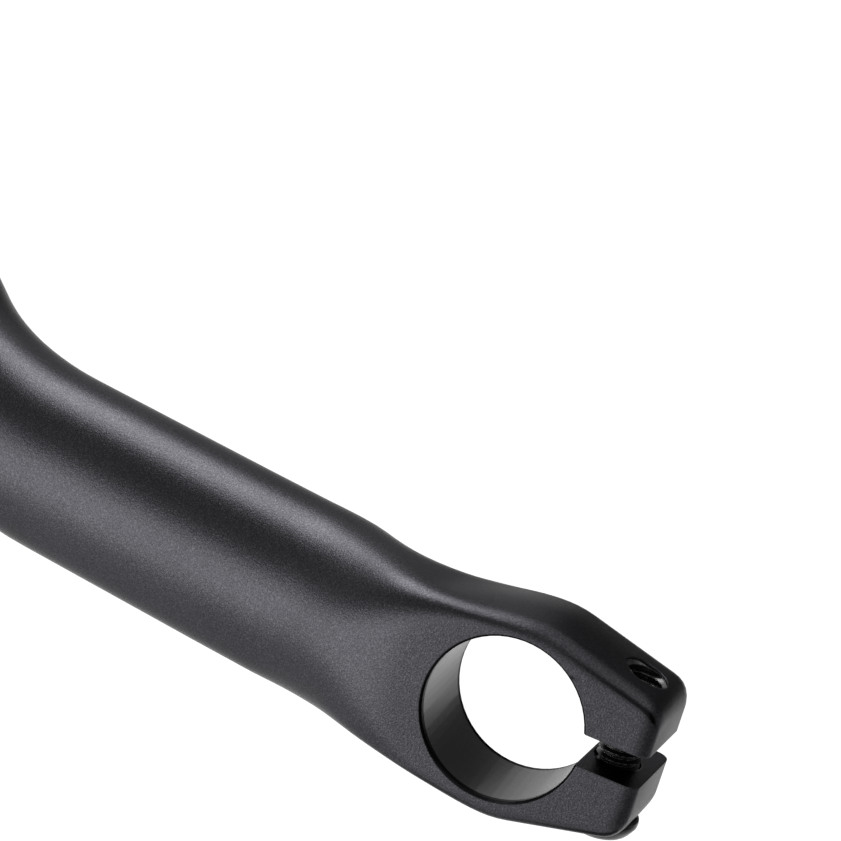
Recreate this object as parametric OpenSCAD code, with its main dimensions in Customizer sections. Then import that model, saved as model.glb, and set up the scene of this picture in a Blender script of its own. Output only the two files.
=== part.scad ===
// Bicycle bar end: a forged, hollow arm in one piece with a split clamp.
// Origin at the middle of the clamp bore. The bore runs along Y, the arm leaves towards +X,
// leans to -Y and ends in a bent tip. The outer face of the clamp looks to +Y.

/* [Clamp] */
// Diameter of the handlebar that the clamp grips
bar_d = 22.2; // [20:0.1:24]
// Wall of the clamp ring around the bore
clamp_wall = 3; // [2:0.1:4]
// Width of the clamp along the handlebar
clamp_w = 15.5; // [13:0.5:18]
// Distance from the bore axis to the end of the jaws
jaw_reach = 19.7; // [18.8:0.1:22]
// Half height of the jaws at their rounded corners
jaw_half_h = 10.5; // [9.8:0.1:11]
// Radius of the corners at the end of the jaws
jaw_corner_r = 3.8; // [2:0.1:5]
// Radius along the edges of the clamp faces
clamp_edge_r = 1.8; // [0.8:0.1:2.4]
// Chamfer at both ends of the bore
bore_chamfer = 0.3; // [0.2:0.1:0.8]
// Gap between the two jaws
slot_gap = 4.4; // [2:0.1:5]
// Height of the middle of the gap above the bore axis
slot_rise = 0.4; // [-0.5:0.1:0.8]

/* [Arm] */
// Height of the oval arm, across the bore
arm_h = 26; // [24:0.2:30]
// Thickness of the oval arm, along the bore
arm_t = 18.6; // [16:0.2:21]
// Wall of the hollow arm
arm_wall = 2.4; // [1.8:0.1:3.5]
// Drop of the arm's centre line below the bore axis
arm_drop = 0.9; // [0:0.1:2]
// Angle by which the arm leans inwards, in degrees
arm_lean = 13; // [0:1:20]
// Distance from the bore axis to the start of the bend
arm_len = 79; // [60:1:110]
// Half height of the neck between the clamp and the arm
neck_half_h = 12.3; // [11.4:0.1:12.8]

/* [Bend and tip] */
// Angle of the bend, in degrees
bend_angle = 33; // [10:1:60]
// Radius of the bend at the centre line
bend_r = 55; // [40:1:90]
// Turn of the bend out of the leaning plane towards +Z, in degrees
bend_roll = 24; // [0:1:45]
// Straight length from the bend to the seat of the end plug
tip_len = 18; // [12:1:60]
// Thickness of the oval at the tip, along the bore
tip_t = 17.4; // [15:0.2:21]

/* [Clamp bolt] */
// Thread diameter of the bolt
bolt_d = 6; // [5:0.5:6]
// Distance from the bore axis to the bolt axis
bolt_x = 14.6; // [14.5:0.1:16]
// Length of the bolt under its head
bolt_len = 16; // [14:1:18]
// Diameter of the button head
head_d = 10.5; // [9:0.5:11]
// Height of the button head
head_h = 3.3; // [2.5:0.1:3.5]
// Width across the flats of the hexagon socket
socket_w = 4; // [3:0.5:4]
// Depth of the hexagon socket
socket_depth = 2.1; // [1.5:0.1:2.2]
// Depth of the head's seat below the bore axis
seat_drop = 8.9; // [8:0.1:9.2]
// Clearance around the bolt in the tapped jaw
thread_clear = 0.05; // [0.02:0.01:0.1]
// Clearance around the bolt in the plain jaw
hole_clear = 0.25; // [0.2:0.05:0.4]
// Clearance around the head in its counterbore
head_clear = 0.5; // [0.3:0.1:0.8]

/* [End plug] */
// Thickness of the plug's flange
flange_t = 2.6; // [2:0.1:4]
// How far the flange stands out beyond the tip
flange_lip = 0.3; // [0:0.1:0.8]
// Radius along the outer edge of the flange
flange_r = 1.6; // [0.8:0.1:1.9]
// Depth of the plug inside the tip
plug_depth = 10; // [6:0.5:11]
// Wall of the plug inside the tip
plug_wall = 1.6; // [1.2:0.1:2]
// Clearance of the plug in the tip, taken up by its ribs
plug_clear = 0.2; // [0.1:0.05:0.4]
// Width of each rib on the plug
rib_w = 1.2; // [0.8:0.1:2]
// Height of the domed inlay in the flange
inlay_h = 9; // [6:0.5:14]
// Thickness of the domed inlay
inlay_t = 1.2; // [0.8:0.1:1.6]

/* [Hidden] */

bore_r = bar_d / 2;
ring_r = bore_r + clamp_wall;
// The ring's centre stands back from the bore's and a little lower
ring_x = -0.9;
clamp_drop = 0.1;
slot_lo = slot_rise - slot_gap / 2;
cut_reach = 60;
over = 1;
bore_facets = 128;
hole_facets = 48;
head_facets = 96;

// Steps of the curved surfaces
around = 64;
around_bore = 40;
edge_steps = 4;
corner_steps = 7;
clamp_step = 1.3;
neck_step = 2;
arm_step = 12;
bend_step = 2.5;
tip_step = 6;

// Exponents of the sections: 1 is an ellipse, less is squarer
face_form = 0.1;
side_form = 0.055;
arm_form = 0.89;
form_from = 6;
form_to = 27;
// Share of the clamp's height by which its top and bottom fall to the front and back
top_crown = 0.11;
bottom_crown = 0.085;
// More than 2 keeps the middle flat and bends it close to the corners
crown_form = 5;
// Degrees by which points move from the clamp's corners to the middle of its sides
spread_by = 12;

// Side outline of the clamp: a ring, two corner arcs and the tangents between them
jaw_x = jaw_corner_r - jaw_reach;
jaw_z = jaw_half_h - jaw_corner_r;
tangent_at = atan2(jaw_z, jaw_x - ring_x)
    - acos((ring_r - jaw_corner_r) / norm([jaw_x - ring_x, jaw_z]));
corner_to = jaw_x + jaw_corner_r * cos(tangent_at);
ring_from = ring_x + ring_r * cos(tangent_at);

// Stations along the arm, measured from the bore axis
lean_to = 12;
neck_at = 14.5;
drop_from = 16;
drop_to = 42;
full_at = 38;
front_from = 12;
front_to = 36;
back_from = 12;
back_to = 32;
hollow_start = 27;
bend_len = bend_r * bend_angle * PI / 180;
tip_at = arm_len + bend_len + tip_len;

// Directions at the root of the arm and of the bend
along = [cos(arm_lean), -sin(arm_lean), 0];
inward = [-sin(arm_lean), -cos(arm_lean), 0];
upward = [0, 0, 1];
bend_to = cos(bend_roll) * inward + sin(bend_roll) * upward;
bend_axis = cross(along, bend_to);

function mix(a, b, k) = a + (b - a) * k;
function ease(x, x0, x1) = let (t = min(1, max(0, (x - x0) / (x1 - x0)))) t * t * (3 - 2 * t);

// Angle turned at a distance along the centre line, and the centre line itself
function turned(s) = bend_angle * min(1, max(0, (s - arm_len) / bend_len));
function tangent(s) = cos(turned(s)) * along + sin(turned(s)) * bend_to;
function carried(v, s) =
    (v * bend_axis) * bend_axis
    + (v * bend_to) * (cos(turned(s)) * bend_to - sin(turned(s)) * along);
function centre(s) =
    -upward * (clamp_drop * (1 - ease(s, 0, neck_at)) + arm_drop * ease(s, drop_from, drop_to))
    + (s < 0 ? s * [1, 0, 0] : min(s, arm_len) * along)
    + bend_r * (sin(turned(s)) * along + (1 - cos(turned(s))) * bend_to)
    + max(0, s - arm_len - bend_len) * tangent(s);

// Across the section: square to the bore in the clamp, then square to the arm
function lean(s) = arm_lean * ease(s, 0, lean_to);
function across(s) = s < lean_to ? [-sin(lean(s)), -cos(lean(s)), 0] : carried(inward, s);

// Reach of the skin from the centre line, to the front, back, top and bottom
function thick(s) = mix(arm_t, tip_t, ease(s, arm_len, tip_at)) / 2;
function front_plane(s) = (clamp_w / 2 - centre(s)[1]) / cos(lean(s));
function back_plane(s) = (clamp_w / 2 + centre(s)[1]) / cos(lean(s));
function front(s) = mix(front_plane(s), thick(s), ease(s, front_from, front_to));
function back(s) = mix(back_plane(s), thick(s), ease(s, back_from, back_to));
function clamp_h(x) =
    x < corner_to ? jaw_z + sqrt(max(0, pow(jaw_corner_r, 2) - pow(x - jaw_x, 2)))
    : x < ring_from ? (ring_r - (x - ring_x) * cos(tangent_at)) / sin(tangent_at)
    : sqrt(max(0, pow(ring_r, 2) - pow(x - ring_x, 2)));
function half_h(s) =
    s < ring_x ? clamp_h(s)
    : s < neck_at ? mix(ring_r, neck_half_h, ease(s, ring_x, neck_at))
    : mix(neck_half_h, arm_h / 2, ease(s, neck_at, full_at));
function form(s, in_clamp) = mix(in_clamp, arm_form, ease(s, form_from, form_to));
function crown(s, h) = (h > 0 ? top_crown : bottom_crown) * (1 - ease(s, form_from, form_to));

// The jaws' end face is rounded into their front and back
function nose(s) =
    let (k = min(1, (s + jaw_reach) / clamp_edge_r))
    clamp_edge_r * (1 - sqrt(max(0, 1 - pow(1 - k, 2))));

function power(v, e) = sign(v) * pow(abs(v), e);
function ring_point(s, angle, inset) =
    let (
        mid = (back(s) - front(s)) / 2,
        half = (back(s) + front(s)) / 2 - inset - nose(s),
        tall = half_h(s) - inset,
        a = angle - spread_by * sin(4 * angle) * (1 - ease(s, form_from, form_to)),
        w = power(cos(a), form(s, face_form)),
        h = power(sin(a), form(s, side_form)),
        fall = 1 - crown(s, h) * pow(abs(w), crown_form)
    )
    centre(s) + (mid + half * w) * across(s) + tall * h * fall * carried(upward, s);

function spread(from, to, step) =
    let (n = ceil((to - from) / step)) [for (i = [0 : n - 1]) from + (to - from) * i / n];
function clamp_stations() = concat(
    [for (i = [0 : corner_steps - 1])
        -jaw_reach + jaw_corner_r * (1 - cos(90 * i / corner_steps))],
    spread(jaw_x, ring_from, clamp_step * 2),
    spread(ring_from, neck_at, clamp_step)
);
function stations(from, to) = concat(
    spread(from, full_at, neck_step),
    spread(full_at, arm_len, arm_step),
    spread(arm_len, arm_len + bend_len, bend_step),
    spread(arm_len + bend_len, to, tip_step),
    [to]
);

// A closed skin through the sections at the given stations
module skin(list, count, inset) {
    last = len(list) - 1;
    points = [
        for (s = list) for (i = [0 : count - 1]) ring_point(s, 360 * i / count, inset)
    ];
    sides = [
        for (j = [0 : last - 1]) for (i = [0 : count - 1])
            let (a = j * count + i, b = j * count + (i + 1) % count)
            each [[a, b, b + count], [a, b + count, a + count]]
    ];
    caps = [
        [for (i = [count - 1 : -1 : 0]) i],
        [for (i = [0 : count - 1]) last * count + i]
    ];
    polyhedron(points, concat(sides, caps), convexity = 6);
}

// Turns what is drawn along Z to the arm's direction at a station
module at_station(s) {
    t = tangent(s);
    u = carried(upward, s);
    v = carried(inward, s);
    c = centre(s);
    multmatrix([
        [v[0], u[0], t[0], c[0]],
        [v[1], u[1], t[1], c[1]],
        [v[2], u[2], t[2], c[2]],
        [0, 0, 0, 1]
    ]) children();
}

module bar_bore() {
    rotate([90, 0, 0]) cylinder(h = cut_reach, r = bore_r, center = true, $fn = bore_facets);
    for (side = [0, 180])
        rotate([90, 0, side])
        translate([0, 0, clamp_w / 2 - bore_chamfer])
        cylinder(h = 2 * bore_chamfer, r1 = bore_r, r2 = bore_r + 2 * bore_chamfer, $fn = bore_facets);
}

module bolt_holes() {
    translate([-bolt_x, 0, 0]) {
        cylinder(h = cut_reach / 2, r = bolt_d / 2 + thread_clear, $fn = hole_facets);
        translate([0, 0, -cut_reach / 2])
        cylinder(h = cut_reach / 2, r = bolt_d / 2 + hole_clear, $fn = hole_facets);
        translate([0, 0, -seat_drop - cut_reach / 2])
        cylinder(h = cut_reach / 2, r = head_d / 2 + head_clear, $fn = head_facets);
    }
}

// Arm, bend, tip and clamp: one forging, bored, slit and drilled
module body() {
    color("#26262a")
    difference() {
        skin(concat(clamp_stations(), stations(neck_at, tip_at)), around, 0);
        skin(stations(hollow_start, tip_at + over), around_bore, arm_wall);
        bar_bore();
        translate([-cut_reach, -cut_reach / 2, slot_lo])
        cube([cut_reach, cut_reach, slot_gap]);
        bolt_holes();
    }
}

// Button head bolt, drawn with its head down
module clamp_bolt() {
    tip_chamfer = bolt_d / 8;
    rim = head_h / 8;
    dome = 60;
    dome_steps = 10;
    color("#17171a")
    translate([-bolt_x, 0, -seat_drop])
    difference() {
        rotate_extrude($fn = head_facets)
        polygon(concat(
            [[0, bolt_len], [bolt_d / 2 - tip_chamfer, bolt_len], [bolt_d / 2, bolt_len - tip_chamfer],
             [bolt_d / 2, 0], [head_d / 2, 0]],
            [for (i = [0 : dome_steps])
                let (k = dome * i / dome_steps)
                [head_d / 2 * cos(k), -rim - (head_h - rim) * sin(k) / sin(dome)]],
            [[0, -head_h]]
        ));
        translate([0, 0, -head_h - over])
        cylinder(h = socket_depth + over, r = socket_w / sqrt(3), $fn = 6);
    }
}

// The tip's oval, made larger or smaller all round
function plug_point(angle, grow) = [
    (tip_t / 2 + grow) * power(cos(angle), arm_form),
    (arm_h / 2 + grow) * power(sin(angle), arm_form)
];

module plug_shank(from, to, grow) {
    translate([0, 0, from])
    linear_extrude(to - from)
    polygon([for (i = [0 : around - 1]) plug_point(360 * i / around, grow)]);
}

// Flange with a rounded outer edge, as a stack of ovals
module plug_flange() {
    levels = concat(
        [[0, flange_lip]],
        [for (i = [0 : edge_steps])
            let (k = 90 * i / edge_steps)
            [flange_t - flange_r + flange_r * sin(k), flange_lip - flange_r * (1 - cos(k))]]
    );
    last = len(levels) - 1;
    points = [for (l = levels) for (i = [0 : around - 1])
        let (p = plug_point(360 * i / around, l[1])) [p[0], p[1], l[0]]];
    sides = [for (j = [0 : last - 1]) for (i = [0 : around - 1])
        let (a = j * around + i, b = j * around + (i + 1) % around)
        each [[a, b + around, b], [a, a + around, b + around]]];
    caps = [
        [for (i = [0 : around - 1]) i],
        [for (i = [around - 1 : -1 : 0]) last * around + i]
    ];
    polyhedron(points, concat(sides, caps), convexity = 2);
}

// Plug: a rounded flange and a hollow, ribbed shank in the tip
module end_plug() {
    shank = -arm_wall - plug_clear;
    color("#1d1d1f")
    at_station(tip_at)
    difference() {
        union() {
            plug_flange();
            plug_shank(-plug_depth, flange_t / 2, shank);
            for (side = [-1, 1]) {
                translate([side * (tip_t / 2 + shank), 0, -plug_depth / 2])
                cube([2 * plug_clear, rib_w, plug_depth], center = true);
                translate([0, side * (arm_h / 2 + shank), -plug_depth / 2])
                cube([rib_w, 2 * plug_clear, plug_depth], center = true);
            }
        }
        plug_shank(-plug_depth - over, 0, shank - plug_wall);
        translate([0, 0, flange_t - inlay_t / 2]) cylinder(h = inlay_t, r = inlay_h / 2, $fn = head_facets);
    }
}

// Domed inlay glued into the flange
module plug_inlay() {
    r = inlay_h / 2;
    edge_t = inlay_t / 2;
    dome_steps = 8;
    color("#9a9aa0")
    at_station(tip_at)
    translate([0, 0, flange_t - inlay_t / 2])
    rotate_extrude($fn = head_facets)
    polygon(concat(
        [[0, 0], [r, 0]],
        [for (i = [0 : dome_steps])
            let (k = 90 * i / dome_steps)
            [r * cos(k), edge_t + (inlay_t - edge_t) * sin(k)]]
    ));
}

body();
clamp_bolt();
end_plug();
plug_inlay();
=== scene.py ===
"""Dresses the bicycle bar end: one anodised bar end with its clamp bolt, end plug and plug inlay."""

import math

import bmesh
import bpy
from bpy.props import FloatProperty, FloatVectorProperty, IntProperty, PointerProperty
from bpy.types import Operator, Panel, PropertyGroup
from mathutils import Matrix, Vector


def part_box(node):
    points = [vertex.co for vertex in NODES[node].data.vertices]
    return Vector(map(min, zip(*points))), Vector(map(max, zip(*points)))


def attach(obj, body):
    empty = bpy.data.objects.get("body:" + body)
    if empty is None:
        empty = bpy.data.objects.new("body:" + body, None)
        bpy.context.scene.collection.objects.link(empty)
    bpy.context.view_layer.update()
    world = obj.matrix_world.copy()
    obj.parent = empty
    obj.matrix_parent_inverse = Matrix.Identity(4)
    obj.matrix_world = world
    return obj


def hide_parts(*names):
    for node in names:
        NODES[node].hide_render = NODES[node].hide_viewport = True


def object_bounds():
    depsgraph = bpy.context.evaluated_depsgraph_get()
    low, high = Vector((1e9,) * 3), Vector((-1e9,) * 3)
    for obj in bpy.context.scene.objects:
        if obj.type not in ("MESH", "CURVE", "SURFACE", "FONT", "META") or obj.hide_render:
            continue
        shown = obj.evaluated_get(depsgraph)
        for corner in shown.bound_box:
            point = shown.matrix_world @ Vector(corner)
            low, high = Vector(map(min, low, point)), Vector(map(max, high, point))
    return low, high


bl_info = {
    "name": "Bicycle Bar End",
    "version": (1, 0, 0),
    "blender": (4, 5, 0),
    "location": "View3D > Sidebar > Bar End",
    "description": "Builds the looks of a bicycle bar end around its solid model",
    "category": "Object",
}

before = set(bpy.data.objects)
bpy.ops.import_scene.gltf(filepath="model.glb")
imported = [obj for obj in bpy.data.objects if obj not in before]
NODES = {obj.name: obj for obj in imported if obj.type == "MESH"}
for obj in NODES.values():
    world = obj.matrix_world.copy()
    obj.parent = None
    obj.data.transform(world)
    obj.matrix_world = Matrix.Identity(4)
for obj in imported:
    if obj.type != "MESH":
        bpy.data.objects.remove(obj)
CAD_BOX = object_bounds()
BOLT_LOW, BOLT_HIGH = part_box("clamp_bolt")

# Loose corners of a solid's mesh that are closer than this are one corner
MERGE_DISTANCE = 2e-6
# A corner is tight when the surface turns by this many degrees in a millimetre, and gentle below the other
GENTLE_TURN, TIGHT_TURN = 15, 60
# A face that lies up to this share of the bore's radius from its axis belongs to the bore
BORE_REACH = 1.04
# Threads are shaded sharp where they turn by more than this
BOLT_CREASE = math.radians(28)

# Thread profile, as shares of the pitch: the root's end, the crest's start and end, and the next root
ROOT_END, CREST_START, CREST_END, ROOT_START = 0.12, 0.44, 0.56, 0.88
# Radius of the bolt's crests and of the tapped thread's roots, which fit the solids' shank and hole
BOLT_RADIUS, TAPPED_RADIUS = 0.003, 0.00302
# The shank reaches this far down into the bolt's head
SHANK_SINK = 0.0001
# The tapped thread is a thin skin that is a little shallower, and starts just over the bolt's end
THREAD_WALL = 0.00003
TAPPED_DEPTH = 0.9
TAPPED_START = 0.0002

# Grain: the soft unevenness and the clouds of colour, as shares of the fine dimples' scale
COARSE_SHARE, CLOUD_SHARE = 0.12, 0.02

# Camera, from the angle of the photograph, and what the lamps look at
CAMERA_PLACE = (-0.10283, 0.46142, 0.18613)
CAMERA_RIGHT = Vector((-0.896290, -0.342000, 0.282312))
CAMERA_UP = Vector((0.364354, -0.205000, 0.908416))
ARM_MIDDLE = Vector((0.04, 0, 0))

# Dark parts of the room that show in reflections: direction, level, and where each part is full and gone
DARK_PARTS = (
    ((0.61, 0.62, 0.50), 0.4, 0.93, 0.6),
    ((-0.30, -0.85, 0.40), 0.15, 0.94, 0.75),
    ((-0.90, 0.20, 0.15), 0.1, 0.85, 0.5),
)

# Floor: brightness to the camera, and in reflections near and far, and over which stretch it changes
FLOOR_SEEN = 0.85
FLOOR_MIRRORED = (1.0, 0.7)
FLOOR_FADE = (-0.35, 0.25)
FLOOR_SIDE = (-0.95, 0.3, 0)
FLOOR_SIDE_LEVEL = 0.05
FLOOR_SIDE_FADE = (0.25, 0.75)


# Sizes and colours that a user would change

class BarEndShape(PropertyGroup):
    crease_angle: FloatProperty(
        name="Crease angle", description="Edges that turn by more than this are shaded sharp",
        default=math.radians(34), min=0.1, max=1.5, subtype="ANGLE")
    bore_radius: FloatProperty(
        name="Bore radius", description="Radius of the machined bore",
        default=0.0111, min=0.01, max=0.012, precision=5, unit="LENGTH")
    rim_depth: FloatProperty(
        name="Rim depth", description="Depth of the dark rims at both ends of the bore",
        default=0.0011, min=0.0005, max=0.003, precision=5, unit="LENGTH")
    thread_pitch: FloatProperty(
        name="Thread pitch", description="Distance between two turns of the bolt's thread",
        default=0.001, min=0.0005, max=0.002, precision=5, unit="LENGTH")
    thread_depth: FloatProperty(
        name="Thread depth", description="Height of the thread from root to crest",
        default=0.0006, min=0.0002, max=0.001, precision=5, unit="LENGTH")
    socket_width: FloatProperty(
        name="Socket width", description="Width of the hexagon socket across its flats",
        default=0.004, min=0.003, max=0.005, precision=5, unit="LENGTH")
    socket_depth: FloatProperty(
        name="Socket depth", description="Depth of the hexagon socket",
        default=0.0021, min=0.001, max=0.0025, precision=5, unit="LENGTH")
    head_height: FloatProperty(
        name="Head height", description="Height of the bolt's button head",
        default=0.0033, min=0.002, max=0.004, precision=5, unit="LENGTH")
    mouth_height: FloatProperty(
        name="Mouth height", description="Height at which the thread ends in the middle of the tapped hole",
        default=0.0105, min=0.008, max=0.012, precision=5, unit="LENGTH")
    mouth_slope: FloatProperty(
        name="Mouth slope", description="Slope of the jaw where the tapped hole comes out",
        default=math.radians(15), min=0, max=0.6, subtype="ANGLE")
    around: IntProperty(
        name="Faces around", description="Number of faces around the bolt",
        default=72, min=24, max=144)


class BarEndFinish(PropertyGroup):
    tube_colour: FloatVectorProperty(
        name="Anodised colour", description="Colour of the blasted and anodised aluminium",
        default=(0.045, 0.0442, 0.0495), size=3, min=0, max=1, subtype="COLOR")
    bore_colour: FloatVectorProperty(
        name="Bore colour", description="Colour of the machined bore",
        default=(0.018, 0.018, 0.019), size=3, min=0, max=1, subtype="COLOR")
    # Painted shade: the bore's chamfers and the outer band of its wall are darkened to look like a rounded rim
    painted_rim_shade_colour: FloatVectorProperty(
        name="Rim shade colour", description="Painted shade on the chamfers and outer bands of the bore",
        default=(0.008, 0.008, 0.009), size=3, min=0, max=1, subtype="COLOR")
    thread_colour: FloatVectorProperty(
        name="Tapped thread colour", description="Colour of the tapped thread in the upper jaw",
        default=(0.075, 0.075, 0.077), size=3, min=0, max=1, subtype="COLOR")
    worn_colour: FloatVectorProperty(
        name="Worn edge colour", description="Colour of the aluminium where an edge is rubbed",
        default=(0.16, 0.16, 0.165), size=3, min=0, max=1, subtype="COLOR")
    # Partly rubbed steel, partly painted glints on the thread's crests
    worn_steel_and_glint_colour: FloatVectorProperty(
        name="Worn steel and glint colour", description="Colour of the bolt's rubbed crests and painted glints",
        default=(0.8, 0.8, 0.78), size=3, min=0, max=1, subtype="COLOR")
    worn_plastic_colour: FloatVectorProperty(
        name="Worn plastic colour", description="Colour of the plug where an edge is rubbed",
        default=(0.07, 0.07, 0.07), size=3, min=0, max=1, subtype="COLOR")
    worn_inlay_colour: FloatVectorProperty(
        name="Worn inlay colour", description="Colour of the disc where its edge is rubbed",
        default=(0.5, 0.5, 0.5), size=3, min=0, max=1, subtype="COLOR")
    bolt_colour: FloatVectorProperty(
        name="Bolt colour", description="Colour of the blackened steel bolt",
        default=(0.010, 0.010, 0.011), size=3, min=0, max=1, subtype="COLOR")
    plug_colour: FloatVectorProperty(
        name="Plug colour", description="Colour of the moulded end plug",
        default=(0.012, 0.012, 0.013), size=3, min=0, max=1, subtype="COLOR")
    inlay_colour: FloatVectorProperty(
        name="Inlay colour", description="Colour of the disc in the end plug",
        default=(0.34, 0.34, 0.35), size=3, min=0, max=1, subtype="COLOR")
    grain_size: FloatProperty(
        name="Grain size", description="Size of one dimple of the blasted surface",
        default=0.00022, min=0.00005, max=0.001, precision=5, unit="LENGTH")
    grain_height: FloatProperty(
        name="Grain height", description="Depth of the dimples of the blasted surface",
        default=0.00003, min=0.0, max=0.0004, precision=6, unit="LENGTH")


class BarEndStage(PropertyGroup):
    floor_drop: FloatProperty(
        name="Floor drop", description="Distance from the bar end down to the floor",
        default=0.32, min=0.01, max=1, unit="LENGTH")
    floor_size: FloatProperty(
        name="Floor size", description="Width of the floor",
        default=8, min=1, max=20, unit="LENGTH")
    floor_colour: FloatVectorProperty(
        name="Floor colour", description="Colour of the floor",
        default=(0.82, 0.82, 0.82), size=3, min=0, max=1, subtype="COLOR")
    room_light: FloatProperty(
        name="Room light", description="Level of the plain light from all around",
        default=0.2, min=0, max=1)
    top_power: FloatProperty(
        name="Top light", description="Power of the soft box over the arm, in watts",
        default=0.9, min=0, max=20)
    wide_power: FloatProperty(
        name="Wide top light", description="Power of the wide soft box behind it, in watts",
        default=3.2, min=0, max=20)
    front_power: FloatProperty(
        name="Front light", description="Power of the low soft box in front, in watts",
        default=2.3, min=0, max=20)
    focal_length: FloatProperty(
        name="Focal length", description="Focal length of the camera, in millimetres",
        default=165.7, min=20, max=400)


# Node groups

def add_node(tree, kind, values=None, **settings):
    """A node of that kind, with its settings and the default values of its inputs."""
    node = tree.nodes.new(kind)
    for key, value in settings.items():
        setattr(node, key, value)
    for key, value in (values or {}).items():
        node.inputs[key].default_value = value
    return node


def new_group(name, inputs, outputs):
    """An empty shader node group. Inputs are (name, type, default), outputs are (name, type)."""
    tree = bpy.data.node_groups.new(name, "ShaderNodeTree")
    for label, kind, default in inputs:
        tree.interface.new_socket(label, in_out="INPUT", socket_type=kind).default_value = default
    for label, kind in outputs:
        tree.interface.new_socket(label, in_out="OUTPUT", socket_type=kind)
    return tree, tree.nodes.new("NodeGroupInput"), tree.nodes.new("NodeGroupOutput")


def blasted_grain_group():
    """Fine dimples of a blasted surface, with larger and softer unevenness below them."""
    name = "Blasted Grain"
    if name in bpy.data.node_groups:
        return bpy.data.node_groups[name]
    tree, start, end = new_group(
        name,
        [("Vector", "NodeSocketVector", (0, 0, 0)), ("Scale", "NodeSocketFloat", 4000.0),
         ("Waviness", "NodeSocketFloat", 0.3)],
        [("Height", "NodeSocketFloat"), ("Speck", "NodeSocketFloat"), ("Tone", "NodeSocketFloat"),
         ("Cloud", "NodeSocketFloat")])
    link = tree.links.new
    fine = add_node(tree, "ShaderNodeTexNoise", {"Detail": 2.0, "Roughness": 0.65})
    link(start.outputs["Vector"], fine.inputs["Vector"])
    link(start.outputs["Scale"], fine.inputs["Scale"])
    coarse_scale = add_node(tree, "ShaderNodeMath", {1: COARSE_SHARE}, operation="MULTIPLY")
    link(start.outputs["Scale"], coarse_scale.inputs[0])
    coarse = add_node(tree, "ShaderNodeTexNoise", {"Detail": 3.0, "Roughness": 0.5})
    link(start.outputs["Vector"], coarse.inputs["Vector"])
    link(coarse_scale.outputs[0], coarse.inputs["Scale"])
    wave = add_node(tree, "ShaderNodeMath", operation="MULTIPLY")
    link(coarse.outputs["Fac"], wave.inputs[0])
    link(start.outputs["Waviness"], wave.inputs[1])
    height = add_node(tree, "ShaderNodeMath", operation="ADD")
    link(fine.outputs["Fac"], height.inputs[0])
    link(wave.outputs[0], height.inputs[1])
    link(height.outputs[0], end.inputs["Height"])
    speck = add_node(tree, "ShaderNodeMapRange", {"From Min": 0.56, "From Max": 0.72})
    link(fine.outputs["Fac"], speck.inputs["Value"])
    link(speck.outputs["Result"], end.inputs["Speck"])
    tone = add_node(tree, "ShaderNodeMapRange", {"From Min": 0.32, "From Max": 0.68})
    link(fine.outputs["Fac"], tone.inputs["Value"])
    link(tone.outputs["Result"], end.inputs["Tone"])
    cloud_scale = add_node(tree, "ShaderNodeMath", {1: CLOUD_SHARE}, operation="MULTIPLY")
    link(start.outputs["Scale"], cloud_scale.inputs[0])
    cloud = add_node(tree, "ShaderNodeTexNoise", {"Detail": 2.0})
    link(start.outputs["Vector"], cloud.inputs["Vector"])
    link(cloud_scale.outputs[0], cloud.inputs["Scale"])
    link(cloud.outputs["Fac"], end.inputs["Cloud"])
    return tree


def edge_wear_group():
    """A mask that is 1 on sharp edges and broken up along them."""
    name = "Edge Wear"
    if name in bpy.data.node_groups:
        return bpy.data.node_groups[name]
    tree, start, end = new_group(
        name,
        [("Vector", "NodeSocketVector", (0, 0, 0)), ("Radius", "NodeSocketFloat", 0.0004),
         ("Breakup", "NodeSocketFloat", 700.0), ("Amount", "NodeSocketFloat", 1.0)],
        [("Mask", "NodeSocketFloat"), ("Normal", "NodeSocketVector")])
    link = tree.links.new
    rounded = add_node(tree, "ShaderNodeBevel", samples=4)
    link(start.outputs["Radius"], rounded.inputs["Radius"])
    geometry = add_node(tree, "ShaderNodeNewGeometry")
    facing = add_node(tree, "ShaderNodeVectorMath", operation="DOT_PRODUCT")
    link(rounded.outputs["Normal"], facing.inputs[0])
    link(geometry.outputs["Normal"], facing.inputs[1])
    turned = add_node(tree, "ShaderNodeMapRange",
                      {"From Min": 0.99, "From Max": 0.86, "To Min": 0.0, "To Max": 1.0})
    link(facing.outputs["Value"], turned.inputs["Value"])
    noise = add_node(tree, "ShaderNodeTexNoise", {"Detail": 3.0, "Roughness": 0.6})
    link(start.outputs["Vector"], noise.inputs["Vector"])
    link(start.outputs["Breakup"], noise.inputs["Scale"])
    broken = add_node(tree, "ShaderNodeMapRange", {"From Min": 0.38, "From Max": 0.62})
    link(noise.outputs["Fac"], broken.inputs["Value"])
    mask = add_node(tree, "ShaderNodeMath", operation="MULTIPLY")
    link(turned.outputs["Result"], mask.inputs[0])
    link(broken.outputs["Result"], mask.inputs[1])
    scaled = add_node(tree, "ShaderNodeMath", operation="MULTIPLY", use_clamp=True)
    link(mask.outputs[0], scaled.inputs[0])
    link(start.outputs["Amount"], scaled.inputs[1])
    link(scaled.outputs[0], end.inputs["Mask"])
    link(rounded.outputs["Normal"], end.inputs["Normal"])
    return tree


def place_group(tree, group, values, vector):
    """Places a node group in a material, with its values and its coordinates."""
    node = add_node(tree, "ShaderNodeGroup", node_tree=group)
    for key, value in values.items():
        node.inputs[key].default_value = value
    tree.links.new(vector, node.inputs["Vector"])
    return node


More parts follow.
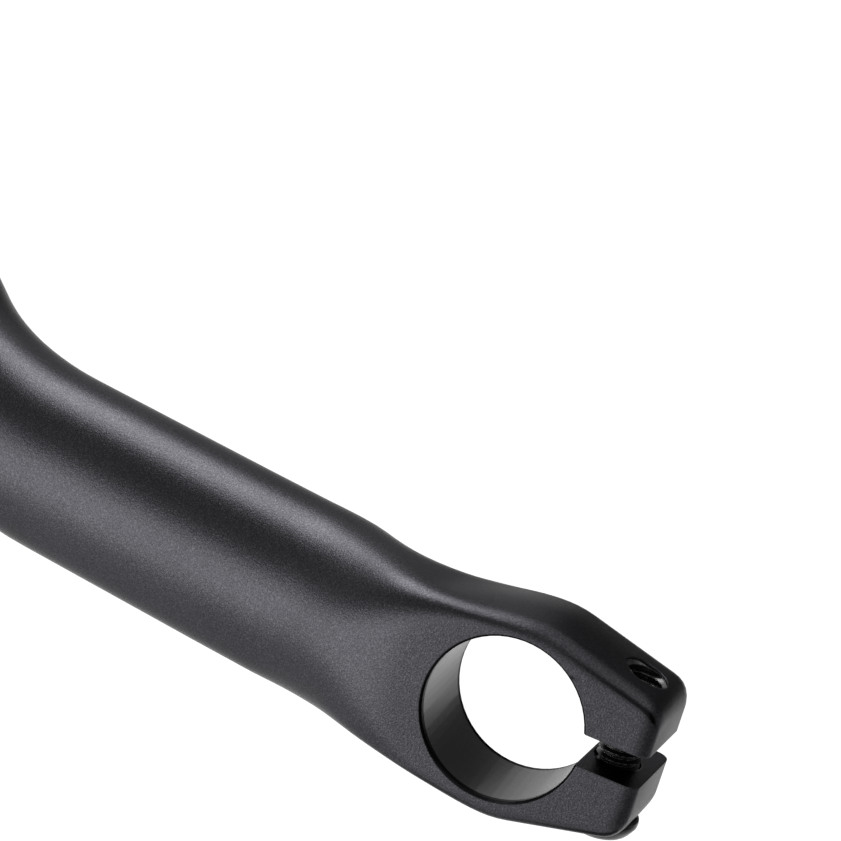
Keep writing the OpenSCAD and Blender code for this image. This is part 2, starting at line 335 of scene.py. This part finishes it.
def blasted_material(name, colour, worn, grain_size, grain_height, roughness, spread,
                     speck=0.3, wear=0.5, wear_radius=0.0003, waviness=0.3, metallic=0.0, specular=0.5,
                     tint=(1, 1, 1), stretch=(1, 1, 1), contrast=0.3, corners=0.0):
    """A blasted, moulded or blackened finish: grain, soft colour variation, worn edges, and painted shade in
    tight rounded corners.
    """
    material = bpy.data.materials.new(name)
    material.use_nodes = True
    tree = material.node_tree
    link = tree.links.new
    shader = tree.nodes["Principled BSDF"]
    shader.inputs["Metallic"].default_value = metallic
    shader.inputs["Specular IOR Level"].default_value = specular
    shader.inputs["Specular Tint"].default_value = (*tint, 1)
    coords = add_node(tree, "ShaderNodeTexCoord").outputs["Object"]
    stretched = add_node(tree, "ShaderNodeMapping", {"Scale": stretch})
    link(coords, stretched.inputs["Vector"])
    grain = place_group(tree, blasted_grain_group(),
                        {"Scale": 1 / grain_size, "Waviness": waviness}, stretched.outputs["Vector"])
    edge = place_group(tree, edge_wear_group(),
                       {"Radius": wear_radius, "Breakup": 0.2 / grain_size, "Amount": wear}, coords)

    clouds = add_node(tree, "ShaderNodeMix", data_type="RGBA")
    clouds.inputs["A"].default_value = (*(c * 0.86 for c in colour), 1)
    clouds.inputs["B"].default_value = (*(c * 1.14 for c in colour), 1)
    link(grain.outputs["Cloud"], clouds.inputs["Factor"])
    shade = add_node(tree, "ShaderNodeMapRange", {"To Min": 1 - contrast, "To Max": 1 + contrast})
    link(grain.outputs["Tone"], shade.inputs["Value"])
    tones = add_node(tree, "ShaderNodeVectorMath", operation="SCALE")
    link(clouds.outputs["Result"], tones.inputs[0])
    link(shade.outputs["Result"], tones.inputs["Scale"])
    specks = add_node(tree, "ShaderNodeMix", data_type="RGBA")
    specks.inputs["B"].default_value = (*(c * 2.4 for c in colour), 1)
    share = add_node(tree, "ShaderNodeMath", {1: speck}, operation="MULTIPLY")
    link(grain.outputs["Speck"], share.inputs[0])
    link(share.outputs[0], specks.inputs["Factor"])
    link(tones.outputs[0], specks.inputs["A"])
    # Rubbed edges: real wear, and on the bolt's crests also painted glints
    rubbed_and_glint = add_node(tree, "ShaderNodeMix", data_type="RGBA")
    rubbed_and_glint.inputs["B"].default_value = (*worn, 1)
    link(edge.outputs["Mask"], rubbed_and_glint.inputs["Factor"])
    link(specks.outputs["Result"], rubbed_and_glint.inputs["A"])
    # Painted shade: tight rounded corners are darkened down to 0.12 of the colour, standing in for the dark
    # reflection along a crease
    rounded = add_node(tree, "ShaderNodeMapRange", {
        "From Min": 0.35, "From Max": 0.95, "To Min": 0.0, "To Max": corners}, interpolation_type="SMOOTHSTEP")
    link(add_node(tree, "ShaderNodeAttribute", attribute_name="corner").outputs["Fac"], rounded.inputs["Value"])
    painted_crease_shade = add_node(tree, "ShaderNodeMix", data_type="RGBA")
    painted_crease_shade.inputs["B"].default_value = (*(c * 0.12 for c in colour), 1)
    link(rounded.outputs["Result"], painted_crease_shade.inputs["Factor"])
    link(rubbed_and_glint.outputs["Result"], painted_crease_shade.inputs["A"])
    link(painted_crease_shade.outputs["Result"], shader.inputs["Base Color"])

    rough = add_node(tree, "ShaderNodeMapRange",
                     {"To Min": roughness - spread, "To Max": roughness + spread})
    link(grain.outputs["Height"], rough.inputs["Value"])
    link(rough.outputs["Result"], shader.inputs["Roughness"])

    bump = add_node(tree, "ShaderNodeBump", {"Strength": 1.0, "Distance": grain_height})
    link(grain.outputs["Height"], bump.inputs["Height"])
    link(edge.outputs["Normal"], bump.inputs["Normal"])
    link(bump.outputs["Normal"], shader.inputs["Normal"])
    return material


# Pieces

def piece_from(name, mesh, material, body):
    """Links a mesh as a piece that rides on a body and takes its finish from a slot."""
    piece = bpy.data.objects.new(name, mesh)
    bpy.context.scene.collection.objects.link(piece)
    piece.data.materials.clear()
    piece.data.materials.append(material)
    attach(piece, body)
    return piece


def shade_smooth(bm, crease_angle):
    """Shades a mesh smooth, but for its creases and open edges."""
    for face in bm.faces:
        face.smooth = True
    for edge in bm.edges:
        edge.smooth = len(edge.link_faces) == 2 and edge.calc_face_angle(0) < crease_angle


def mark_corners(bm, gentle, tight):
    """Marks lengthwise rounded corners by how many degrees the surface turns there in a millimetre. The painted
    crease shade follows this mask.
    """
    layer = bm.verts.layers.float.new("corner")
    for vert in bm.verts:
        turn = 0
        for edge in vert.link_edges:
            area = sum(face.calc_area() for face in edge.link_faces)
            length = edge.calc_length()
            lengthwise = abs(edge.verts[0].co.x - edge.verts[1].co.x) > 0.6 * length
            if edge.smooth and lengthwise and area > 0:
                turn = max(turn, math.degrees(edge.calc_face_angle(0)) * length / area / 1000)
        vert[layer] = min(1, max(0, (turn - gentle) / (tight - gentle)))


def merged_copy(name, node, crease_angle):
    """A copy of a solid's mesh with its loose triangles joined and its creases marked."""
    mesh = NODES[node].data.copy()
    mesh.name = name
    bm = bmesh.new()
    bm.from_mesh(mesh)
    bmesh.ops.remove_doubles(bm, verts=bm.verts, dist=MERGE_DISTANCE)
    bmesh.ops.dissolve_degenerate(bm, dist=MERGE_DISTANCE, edges=bm.edges)
    shade_smooth(bm, crease_angle)
    mark_corners(bm, GENTLE_TURN, TIGHT_TURN)
    bm.to_mesh(mesh)
    bm.free()
    return mesh


def in_bore(centre, normal, radius):
    """True for a face of the bore's wall or chamfers."""
    out = Vector((centre.x, 0, centre.z))
    return out.length < radius * BORE_REACH and normal.dot(out.normalized()) < -0.5


class BAREND_OT_body(Operator):
    """Dress the tube and clamp in blasted, anodised aluminium"""
    bl_idname = "barend.body"
    bl_label = "Tube and Clamp"

    def execute(self, context):
        shape, finish = context.scene.bar_end_shape, context.scene.bar_end_finish
        # The tube's tight rounded corners get painted shade, as the dark line along the crease
        material = blasted_material(
            "Blasted Anodised Aluminium", finish.tube_colour, finish.worn_colour,
            grain_size=finish.grain_size, grain_height=finish.grain_height, roughness=0.29, spread=0.03,
            speck=0.35, wear=0.1, contrast=0.33, corners=0.85, waviness=0.06, metallic=1.0,
            tint=(0.55, 0.55, 0.55))
        mesh = merged_copy("bar_end_tube", "body", shape.crease_angle)
        piece = piece_from("bar_end_tube", mesh, material, "bar_end")
        piece.data.materials.append(blasted_material(
            "Machined Bore", finish.bore_colour, finish.worn_colour,
            grain_size=0.00016, grain_height=0.00001, roughness=0.3, spread=0.04, speck=0.3, wear=0.15,
            waviness=0.1, specular=0.3, stretch=(0.08, 1.0, 0.08)))
        # Painted shade on the bore's chamfers and rims
        piece.data.materials.append(blasted_material(
            "Bore Rim Painted Shade", finish.painted_rim_shade_colour, finish.worn_colour,
            grain_size=0.00016, grain_height=0.00001, roughness=0.3, spread=0.04, speck=0.3, wear=0.15,
            waviness=0.1, metallic=1.0, tint=(0.55, 0.55, 0.55)))
        # The bore's wall is cut where the painted shade rims begin, so that they end in a clean ring. The
        # chamfers and the outer band of the wall are painted dark as the shade of a rounded rim
        rim = max(v.co.y for v in mesh.vertices
                  if math.hypot(v.co.x, v.co.z) < shape.bore_radius * BORE_REACH)
        wall_end = rim - shape.rim_depth
        bm = bmesh.new()
        bm.from_mesh(mesh)
        for side in (-1, 1):
            wall = [f for f in bm.faces if in_bore(f.calc_center_median(), f.normal, shape.bore_radius)]
            bmesh.ops.bisect_plane(
                bm, geom=list({*wall, *(e for f in wall for e in f.edges), *(v for f in wall for v in f.verts)}),
                plane_co=(0, side * wall_end, 0), plane_no=(0, 1, 0))
        for face in bm.faces:
            centre = face.calc_center_median()
            if in_bore(centre, face.normal, shape.bore_radius):
                # Index 2 is the painted shade at both ends of the bore
                face.material_index = 1 if abs(centre.y) < wall_end else 2
        bm.to_mesh(mesh)
        bm.free()
        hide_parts("body")
        return {"FINISHED"}


def spin_profile(bm, points, steps):
    """Turns a line of (radius, height) points once round the upright axis."""
    verts = [bm.verts.new((r, 0, z)) for r, z in points]
    edges = [bm.edges.new(pair) for pair in zip(verts, verts[1:])]
    bmesh.ops.spin(bm, geom=verts + edges, cent=(0, 0, 0), axis=(0, 0, 1), dvec=(0, 0, 0),
                   angle=2 * math.pi, steps=steps, use_merge=True)


def helix(bm, root, crest, pitch, start, turns, steps):
    """A screw thread that climbs from a start height, open at both ends."""
    profile = [(root, 0), (root, ROOT_END), (crest, CREST_START), (crest, CREST_END),
               (root, ROOT_START), (root, 1)]
    verts = [bm.verts.new((r, 0, start + z * pitch)) for r, z in profile]
    edges = [bm.edges.new(pair) for pair in zip(verts, verts[1:])]
    bmesh.ops.spin(bm, geom=verts + edges, cent=(0, 0, 0), axis=(0, 0, 1),
                   dvec=(0, 0, pitch / steps), angle=2 * math.pi * turns, steps=steps * turns,
                   use_merge=False)
    bmesh.ops.remove_doubles(bm, verts=bm.verts, dist=pitch * 0.002)


def threaded_shank(radius, depth, pitch, low, high, steps):
    """A screw thread between two heights, closed at both ends."""
    bm = bmesh.new()
    helix(bm, radius - depth, radius, pitch, low - pitch, math.ceil((high - low) / pitch) + 2, steps)
    for height, side in ((low, -1), (high, 1)):
        cut = bmesh.ops.bisect_plane(
            bm, geom=bm.verts[:] + bm.edges[:] + bm.faces[:], plane_co=(0, 0, height),
            plane_no=(0, 0, side), clear_outer=True)
        rim = [e for e in cut["geom_cut"] if isinstance(e, bmesh.types.BMEdge) and e.is_boundary]
        bmesh.ops.holes_fill(bm, edges=rim, sides=0)
    bmesh.ops.recalc_face_normals(bm, faces=bm.faces)
    return bm


def button_head(radius, height, socket_width, socket_depth, steps):
    """A domed head that opens downwards in a hexagon socket. Its seat is at height zero."""
    bm = bmesh.new()
    # The rounded edge of the seat comes first, then the dome in eight steps, then the socket's rim
    dome = [(radius * 0.93, 0), (radius * 0.985, -height * 0.05), (radius, -height * 0.16)]
    for i in range(1, 9):
        turn = math.radians(12 + i * 7.2)
        dome.append((radius * (1.02 * math.cos(turn) ** 0.8 if i > 1 else 0.992),
                     -height * (0.16 + 0.84 * math.sin(math.radians(i * 11.25)))))
    top = (socket_width * 0.5 / math.cos(math.pi / 6)) * 1.06
    dome = [p for p in dome if p[0] > top * 1.12] + [(top * 1.10, -height), (top, -height)]
    spin_profile(bm, dome, steps)
    # The socket starts as a ring of corners, drawn in to a hexagon
    rim = [e for e in bm.edges if e.is_boundary and max(v.co.z for v in e.verts) < -height * 0.99]
    inner = bmesh.ops.extrude_edge_only(bm, edges=rim)["geom"]
    ring = [v for v in inner if isinstance(v, bmesh.types.BMVert)]
    for v in ring:
        angle = math.atan2(v.co.y, v.co.x)
        flat = (angle + math.pi / 6) % (math.pi / 3) - math.pi / 6
        reach = socket_width * 0.5 / math.cos(flat)
        v.co.x, v.co.y, v.co.z = reach * math.cos(angle), reach * math.sin(angle), -height * 0.95
    wall = [e for e in inner if isinstance(e, bmesh.types.BMEdge)]
    deep = bmesh.ops.extrude_edge_only(bm, edges=wall)["geom"]
    floor_ring = [v for v in deep if isinstance(v, bmesh.types.BMVert)]
    bmesh.ops.translate(bm, verts=floor_ring, vec=(0, 0, socket_depth - height * 0.05))
    floor_edges = [e for e in deep if isinstance(e, bmesh.types.BMEdge)]
    bmesh.ops.holes_fill(bm, edges=floor_edges, sides=0)
    seat = [e for e in bm.edges if e.is_boundary]
    bmesh.ops.holes_fill(bm, edges=seat, sides=0)
    bmesh.ops.recalc_face_normals(bm, faces=bm.faces)
    return bm


class BAREND_OT_bolt(Operator):
    """Build the clamp bolt with its rolled thread, button head and hexagon socket"""
    bl_idname = "barend.bolt"
    bl_label = "Clamp Bolt"

    def execute(self, context):
        shape, finish = context.scene.bar_end_shape, context.scene.bar_end_finish
        centre = (BOLT_LOW + BOLT_HIGH) / 2
        head_radius = (BOLT_HIGH.x - BOLT_LOW.x) / 2
        seat = BOLT_LOW.z + shape.head_height
        mesh = bpy.data.meshes.new("clamp_bolt_threaded")
        whole = bmesh.new()
        for part in (
                threaded_shank(BOLT_RADIUS, shape.thread_depth, shape.thread_pitch, -SHANK_SINK,
                               BOLT_HIGH.z - seat, shape.around),
                button_head(head_radius, shape.head_height, shape.socket_width,
                            shape.socket_depth, shape.around)):
            bmesh.ops.translate(part, verts=part.verts, vec=(centre.x, centre.y, seat))
            part.to_mesh(mesh)
            part.free()
            whole.from_mesh(mesh)
        shade_smooth(whole, BOLT_CREASE)
        whole.to_mesh(mesh)
        whole.free()
        # Bright crests of the thread: partly rubbed steel, partly painted glints
        material = blasted_material(
            "Blackened Steel", finish.bolt_colour, finish.worn_steel_and_glint_colour,
            grain_size=0.00009, grain_height=0.000006, roughness=0.28, spread=0.06, speck=0.5, wear=0.9,
            wear_radius=0.00009, specular=0.15)
        piece = piece_from("clamp_bolt_threaded", mesh, material, "bolt")
        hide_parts("clamp_bolt")
        return {"FINISHED"}


def tapped_wall(radius, depth, pitch, low, high, slope, steps):
    """The thread in a tapped hole, between a height and a sloping mouth."""
    bm = bmesh.new()
    helix(bm, radius, radius - depth, pitch, low - pitch, math.ceil((high - low) / pitch) + 3, steps)
    for place, normal in (((0, 0, low), (0, 0, -1)), ((0, 0, high), slope)):
        bmesh.ops.bisect_plane(bm, geom=bm.verts[:] + bm.edges[:] + bm.faces[:], plane_co=place,
                               plane_no=normal, clear_outer=True)
    bmesh.ops.recalc_face_normals(bm, faces=bm.faces)
    inwards = sum(f.normal.x * f.calc_center_median().x + f.normal.y * f.calc_center_median().y
                  for f in bm.faces) < 0
    if not inwards:
        bmesh.ops.reverse_faces(bm, faces=bm.faces)
    bmesh.ops.solidify(bm, geom=bm.faces[:], thickness=THREAD_WALL)
    bmesh.ops.recalc_face_normals(bm, faces=bm.faces)
    return bm


class BAREND_OT_thread(Operator):
    """Cut the thread that shows in the mouth of the tapped hole"""
    bl_idname = "barend.thread"
    bl_label = "Tapped Thread"

    def execute(self, context):
        shape, finish = context.scene.bar_end_shape, context.scene.bar_end_finish
        centre = (BOLT_LOW + BOLT_HIGH) / 2
        mouth_facing = (-math.sin(shape.mouth_slope), 0, math.cos(shape.mouth_slope))
        bm = tapped_wall(TAPPED_RADIUS, shape.thread_depth * TAPPED_DEPTH, shape.thread_pitch,
                         BOLT_HIGH.z + TAPPED_START, shape.mouth_height, mouth_facing, shape.around)
        bmesh.ops.translate(bm, verts=bm.verts, vec=(centre.x, centre.y, 0))
        shade_smooth(bm, BOLT_CREASE)
        mesh = bpy.data.meshes.new("tapped_thread")
        bm.to_mesh(mesh)
        bm.free()
        material = blasted_material(
            "Tapped Aluminium", finish.thread_colour, finish.worn_colour,
            grain_size=0.0003, grain_height=0.00001, roughness=0.2, spread=0.05, speck=0.3, wear=0.6,
            wear_radius=0.00012, metallic=0.8)
        piece_from("tapped_thread", mesh, material, "bar_end")
        return {"FINISHED"}


class BAREND_OT_plug(Operator):
    """Dress the moulded end plug and its disc"""
    bl_idname = "barend.plug"
    bl_label = "End Plug and Inlay"

    def execute(self, context):
        shape, finish = context.scene.bar_end_shape, context.scene.bar_end_finish
        plastic = blasted_material(
            "Moulded Black Plastic", finish.plug_colour, finish.worn_plastic_colour,
            grain_size=0.0004, grain_height=0.00001, roughness=0.38, spread=0.06, speck=0.2, wear=0.3)
        disc = blasted_material(
            "Grey Inlay", finish.inlay_colour, finish.worn_inlay_colour,
            grain_size=0.0003, grain_height=0.000012, roughness=0.42, spread=0.05, speck=0.1, wear=0.3)
        for name, node, material, slot in (
                ("end_plug_moulded", "end_plug", plastic, "black_plastic"),
                ("plug_inlay_disc", "plug_inlay", disc, "grey_inlay")):
            mesh = merged_copy(name, node, shape.crease_angle)
            piece = piece_from(name, mesh, material, "bar_end")
            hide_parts(node)
        return {"FINISHED"}


# Stage

def floor_material(colour):
    """A pale floor that shows white to the camera and keeps the shadow. Mirrored, it fades to the side."""
    material = bpy.data.materials.new("Pale Floor")
    material.use_nodes = True
    tree = material.node_tree
    tree.nodes.clear()
    link = tree.links.new
    out = add_node(tree, "ShaderNodeOutputMaterial")
    diffuse = add_node(tree, "ShaderNodeBsdfDiffuse", {"Color": (*colour, 1)})
    glow = add_node(tree, "ShaderNodeEmission", {"Color": (1, 1, 1, 1)})
    place = add_node(tree, "ShaderNodeSeparateXYZ")
    coords = add_node(tree, "ShaderNodeTexCoord").outputs["Object"]
    link(coords, place.inputs[0])
    faded = add_node(tree, "ShaderNodeMapRange", {
        "From Min": FLOOR_FADE[0], "From Max": FLOOR_FADE[1],
        "To Min": FLOOR_MIRRORED[0], "To Max": FLOOR_MIRRORED[1]}, interpolation_type="SMOOTHSTEP")
    link(place.outputs["Y"], faded.inputs["Value"])
    sideways = add_node(tree, "ShaderNodeVectorMath", {1: FLOOR_SIDE}, operation="DOT_PRODUCT")
    link(coords, sideways.inputs[0])
    shaded = add_node(tree, "ShaderNodeMapRange", {
        "From Min": FLOOR_SIDE_FADE[0], "From Max": FLOOR_SIDE_FADE[1],
        "To Min": 1.0, "To Max": FLOOR_SIDE_LEVEL}, interpolation_type="SMOOTHSTEP")
    link(sideways.outputs["Value"], shaded.inputs["Value"])
    mirrored = add_node(tree, "ShaderNodeMath", operation="MULTIPLY")
    link(faded.outputs["Result"], mirrored.inputs[0])
    link(shaded.outputs["Result"], mirrored.inputs[1])
    path = add_node(tree, "ShaderNodeLightPath")
    level = add_node(tree, "ShaderNodeMix", {"A": FLOOR_SEEN}, data_type="FLOAT")
    link(path.outputs["Is Glossy Ray"], level.inputs["Factor"])
    link(mirrored.outputs[0], level.inputs["B"])
    lift = add_node(tree, "ShaderNodeMath", operation="MULTIPLY")
    link(seen_directly(tree), lift.inputs[0])
    link(level.outputs["Result"], lift.inputs[1])
    link(lift.outputs[0], glow.inputs["Strength"])
    both = add_node(tree, "ShaderNodeAddShader")
    link(diffuse.outputs[0], both.inputs[0])
    link(glow.outputs[0], both.inputs[1])
    link(both.outputs[0], out.inputs["Surface"])
    return material


def seen_directly(tree):
    """1 for camera, glossy and transmission rays, and 0 for the rays that light a surface."""
    path = add_node(tree, "ShaderNodeLightPath")
    first = add_node(tree, "ShaderNodeMath", operation="MAXIMUM")
    tree.links.new(path.outputs["Is Camera Ray"], first.inputs[0])
    tree.links.new(path.outputs["Is Glossy Ray"], first.inputs[1])
    both = add_node(tree, "ShaderNodeMath", operation="MAXIMUM")
    tree.links.new(first.outputs[0], both.inputs[0])
    tree.links.new(path.outputs["Is Transmission Ray"], both.inputs[1])
    return both.outputs[0]


def studio_world(level, dark_parts):
    """White where it is seen, a plain level of light elsewhere, and darker parts in reflections."""
    world = bpy.data.worlds.new("Studio")
    world.use_nodes = True
    tree = world.node_tree
    link = tree.links.new
    shader = tree.nodes["Background"]
    shader.inputs["Color"].default_value = (1, 1, 1, 1)
    strength = add_node(tree, "ShaderNodeMapRange", {"To Min": level, "To Max": 1.0})
    link(seen_directly(tree), strength.inputs["Value"])
    direction = add_node(tree, "ShaderNodeTexCoord").outputs["Generated"]
    mirrored = add_node(tree, "ShaderNodeLightPath").outputs["Is Glossy Ray"]
    here = strength.outputs["Result"]
    for towards, low, near, far in dark_parts:
        facing = add_node(tree, "ShaderNodeVectorMath", {1: Vector(towards).normalized()},
                          operation="DOT_PRODUCT")
        link(direction, facing.inputs[0])
        shade = add_node(tree, "ShaderNodeMapRange", {
            "From Min": far, "From Max": near, "To Min": 1.0, "To Max": low},
            interpolation_type="SMOOTHSTEP")
        link(facing.outputs["Value"], shade.inputs["Value"])
        kept = add_node(tree, "ShaderNodeMix", {"A": 1.0}, data_type="FLOAT")
        link(mirrored, kept.inputs["Factor"])
        link(shade.outputs["Result"], kept.inputs["B"])
        dimmed = add_node(tree, "ShaderNodeMath", operation="MULTIPLY")
        link(here, dimmed.inputs[0])
        link(kept.outputs["Result"], dimmed.inputs[1])
        here = dimmed.outputs[0]
    link(here, shader.inputs["Strength"])
    bpy.context.scene.world = world


def soft_box(name, place, target, size, power):
    """A rectangular soft lamp that faces a point."""
    data = bpy.data.lights.new(name, "AREA")
    data.shape = "RECTANGLE"
    data.size, data.size_y = size
    data.energy = power
    lamp = bpy.data.objects.new(name, data)
    bpy.context.scene.collection.objects.link(lamp)
    lamp.location = place
    lamp.rotation_euler = (Vector(target) - Vector(place)).to_track_quat("-Z", "Y").to_euler()


class BAREND_OT_stage(Operator):
    """Set the floor, the studio light and the camera"""
    bl_idname = "barend.stage"
    bl_label = "Stage"

    def execute(self, context):
        stage = context.scene.bar_end_stage
        bm = bmesh.new()
        bmesh.ops.create_grid(bm, x_segments=1, y_segments=1, size=stage.floor_size / 2)
        bmesh.ops.translate(bm, verts=bm.verts, vec=(0, 0, CAD_BOX[0].z - stage.floor_drop))
        mesh = bpy.data.meshes.new("floor")
        bm.to_mesh(mesh)
        bm.free()
        floor = bpy.data.objects.new("floor", mesh)
        mesh.materials.append(floor_material(stage.floor_colour))
        context.scene.collection.objects.link(floor)

        studio_world(stage.room_light, DARK_PARTS)
        overhead = ARM_MIDDLE + Vector((0.55, -0.06, 0.833)) * 0.8
        behind = overhead + Vector((0, 0, 0.02))
        in_front = ARM_MIDDLE + Vector((0.66, 0.68, -0.32)) * 0.7
        soft_box("Top soft box", overhead, ARM_MIDDLE, (0.4, 0.25), stage.top_power)
        soft_box("Wide top soft box", behind, ARM_MIDDLE, (0.75, 0.36), stage.wide_power)
        soft_box("Front soft box", in_front, ARM_MIDDLE, (0.8, 0.3), stage.front_power)

        camera = bpy.data.objects.new("camera", bpy.data.cameras.new("camera"))
        context.scene.collection.objects.link(camera)
        camera.data.sensor_width = 36
        camera.data.lens = stage.focal_length
        camera.data.clip_start, camera.data.clip_end = 0.01, 20
        back = CAMERA_RIGHT.cross(CAMERA_UP)
        turn = Matrix((CAMERA_RIGHT, CAMERA_UP, back)).transposed()
        camera.matrix_world = Matrix.Translation(CAMERA_PLACE) @ turn.to_4x4()
        context.scene.camera = camera
        context.scene.view_settings.view_transform = "Standard"
        return {"FINISHED"}


class BAREND_PT_panel(Panel):
    """Sizes, finishes and steps of the bar end"""
    bl_label = "Bar End"
    bl_space_type = "VIEW_3D"
    bl_region_type = "UI"
    bl_category = "Bar End"

    def draw(self, context):
        layout = self.layout
        for group in (context.scene.bar_end_shape, context.scene.bar_end_finish,
                      context.scene.bar_end_stage):
            box = layout.box()
            for name in group.bl_rna.properties.keys():
                if name not in ("rna_type", "name"):
                    box.prop(group, name)
        for operator in OPERATORS:
            layout.operator(operator.bl_idname)


GROUPS = (BarEndShape, BarEndFinish, BarEndStage)
OPERATORS = (BAREND_OT_body, BAREND_OT_thread, BAREND_OT_bolt, BAREND_OT_plug, BAREND_OT_stage)
CLASSES = (*GROUPS, *OPERATORS, BAREND_PT_panel)


def register():
    for cls in CLASSES:
        bpy.utils.register_class(cls)
    bpy.types.Scene.bar_end_shape = PointerProperty(type=BarEndShape)
    bpy.types.Scene.bar_end_finish = PointerProperty(type=BarEndFinish)
    bpy.types.Scene.bar_end_stage = PointerProperty(type=BarEndStage)


def unregister():
    del bpy.types.Scene.bar_end_stage
    del bpy.types.Scene.bar_end_finish
    del bpy.types.Scene.bar_end_shape
    for cls in reversed(CLASSES):
        bpy.utils.unregister_class(cls)


def main():
    register()
    bpy.ops.barend.body()
    bpy.ops.barend.thread()
    bpy.ops.barend.bolt()
    bpy.ops.barend.plug()
    bpy.ops.barend.stage()
    bpy.context.view_layer.update()


if __name__ == "__main__":
    main()
